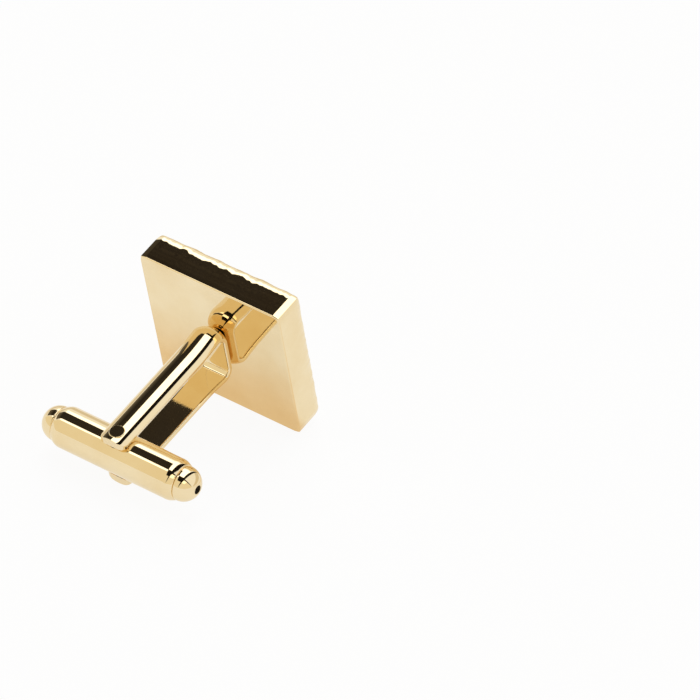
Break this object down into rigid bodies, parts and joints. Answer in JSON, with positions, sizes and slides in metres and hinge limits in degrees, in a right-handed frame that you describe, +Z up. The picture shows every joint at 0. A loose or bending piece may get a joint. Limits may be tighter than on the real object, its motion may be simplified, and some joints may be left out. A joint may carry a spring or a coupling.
{
  "type": "cufflink",
  "caption": "Square gold-plated cufflink with a hammered face, a forked post and a swivel toggle bar with domed, vented end caps, turned in line with the post to pass a cuff.",
  "frame": {"origin": "bottom centre of the part's box, as it lies on a table on the lower back edge of the head and the end of the fork's lower arm", "axes": "+X along the toggle at rest, +Y from the toggle towards the head, +Z up off the table; the post leans 16.8 degrees"},
  "size_m": [0.0186, 0.0234, 0.0171],
  "materials": {
    "gold_plate": "polished gold plating",
    "spring_steel": "bright drawn"
  },
  "bodies": {
    "stud": {"head": "gold_plate", "fork": "gold_plate", "pivot_pin": "gold_plate"},
    "toggle": {"toggle_barrel": "gold_plate", "end_cap_left": "gold_plate", "end_cap_right": "gold_plate", "detent_spring_left": "spring_steel", "detent_spring_right": "spring_steel"},
    "plunger_left": {"detent_plunger_left": "spring_steel"},
    "plunger_right": {"detent_plunger_right": "spring_steel"}
  },
  "joints": [
    {"name": "toggle_swivel", "type": "hinge", "parent": "stud", "child": "toggle", "pos_m": [0, -0.00958, 0.00346], "axis": [0, -0.2888, 0.9574], "continuous": true},
    {"name": "plunger_slide_left", "type": "slide", "parent": "toggle", "child": "plunger_left", "axis": [-1, 0, 0], "range_m": [-0.00015, 0], "stiffness_N_per_m": 200, "springref_m": -0.00015, "deforming": ["detent_spring_left"]},
    {"name": "plunger_slide_right", "type": "slide", "parent": "toggle", "child": "plunger_right", "axis": [1, 0, 0], "range_m": [-0.00015, 0], "stiffness_N_per_m": 200, "springref_m": -0.00015, "deforming": ["detent_spring_right"]}
  ]
}
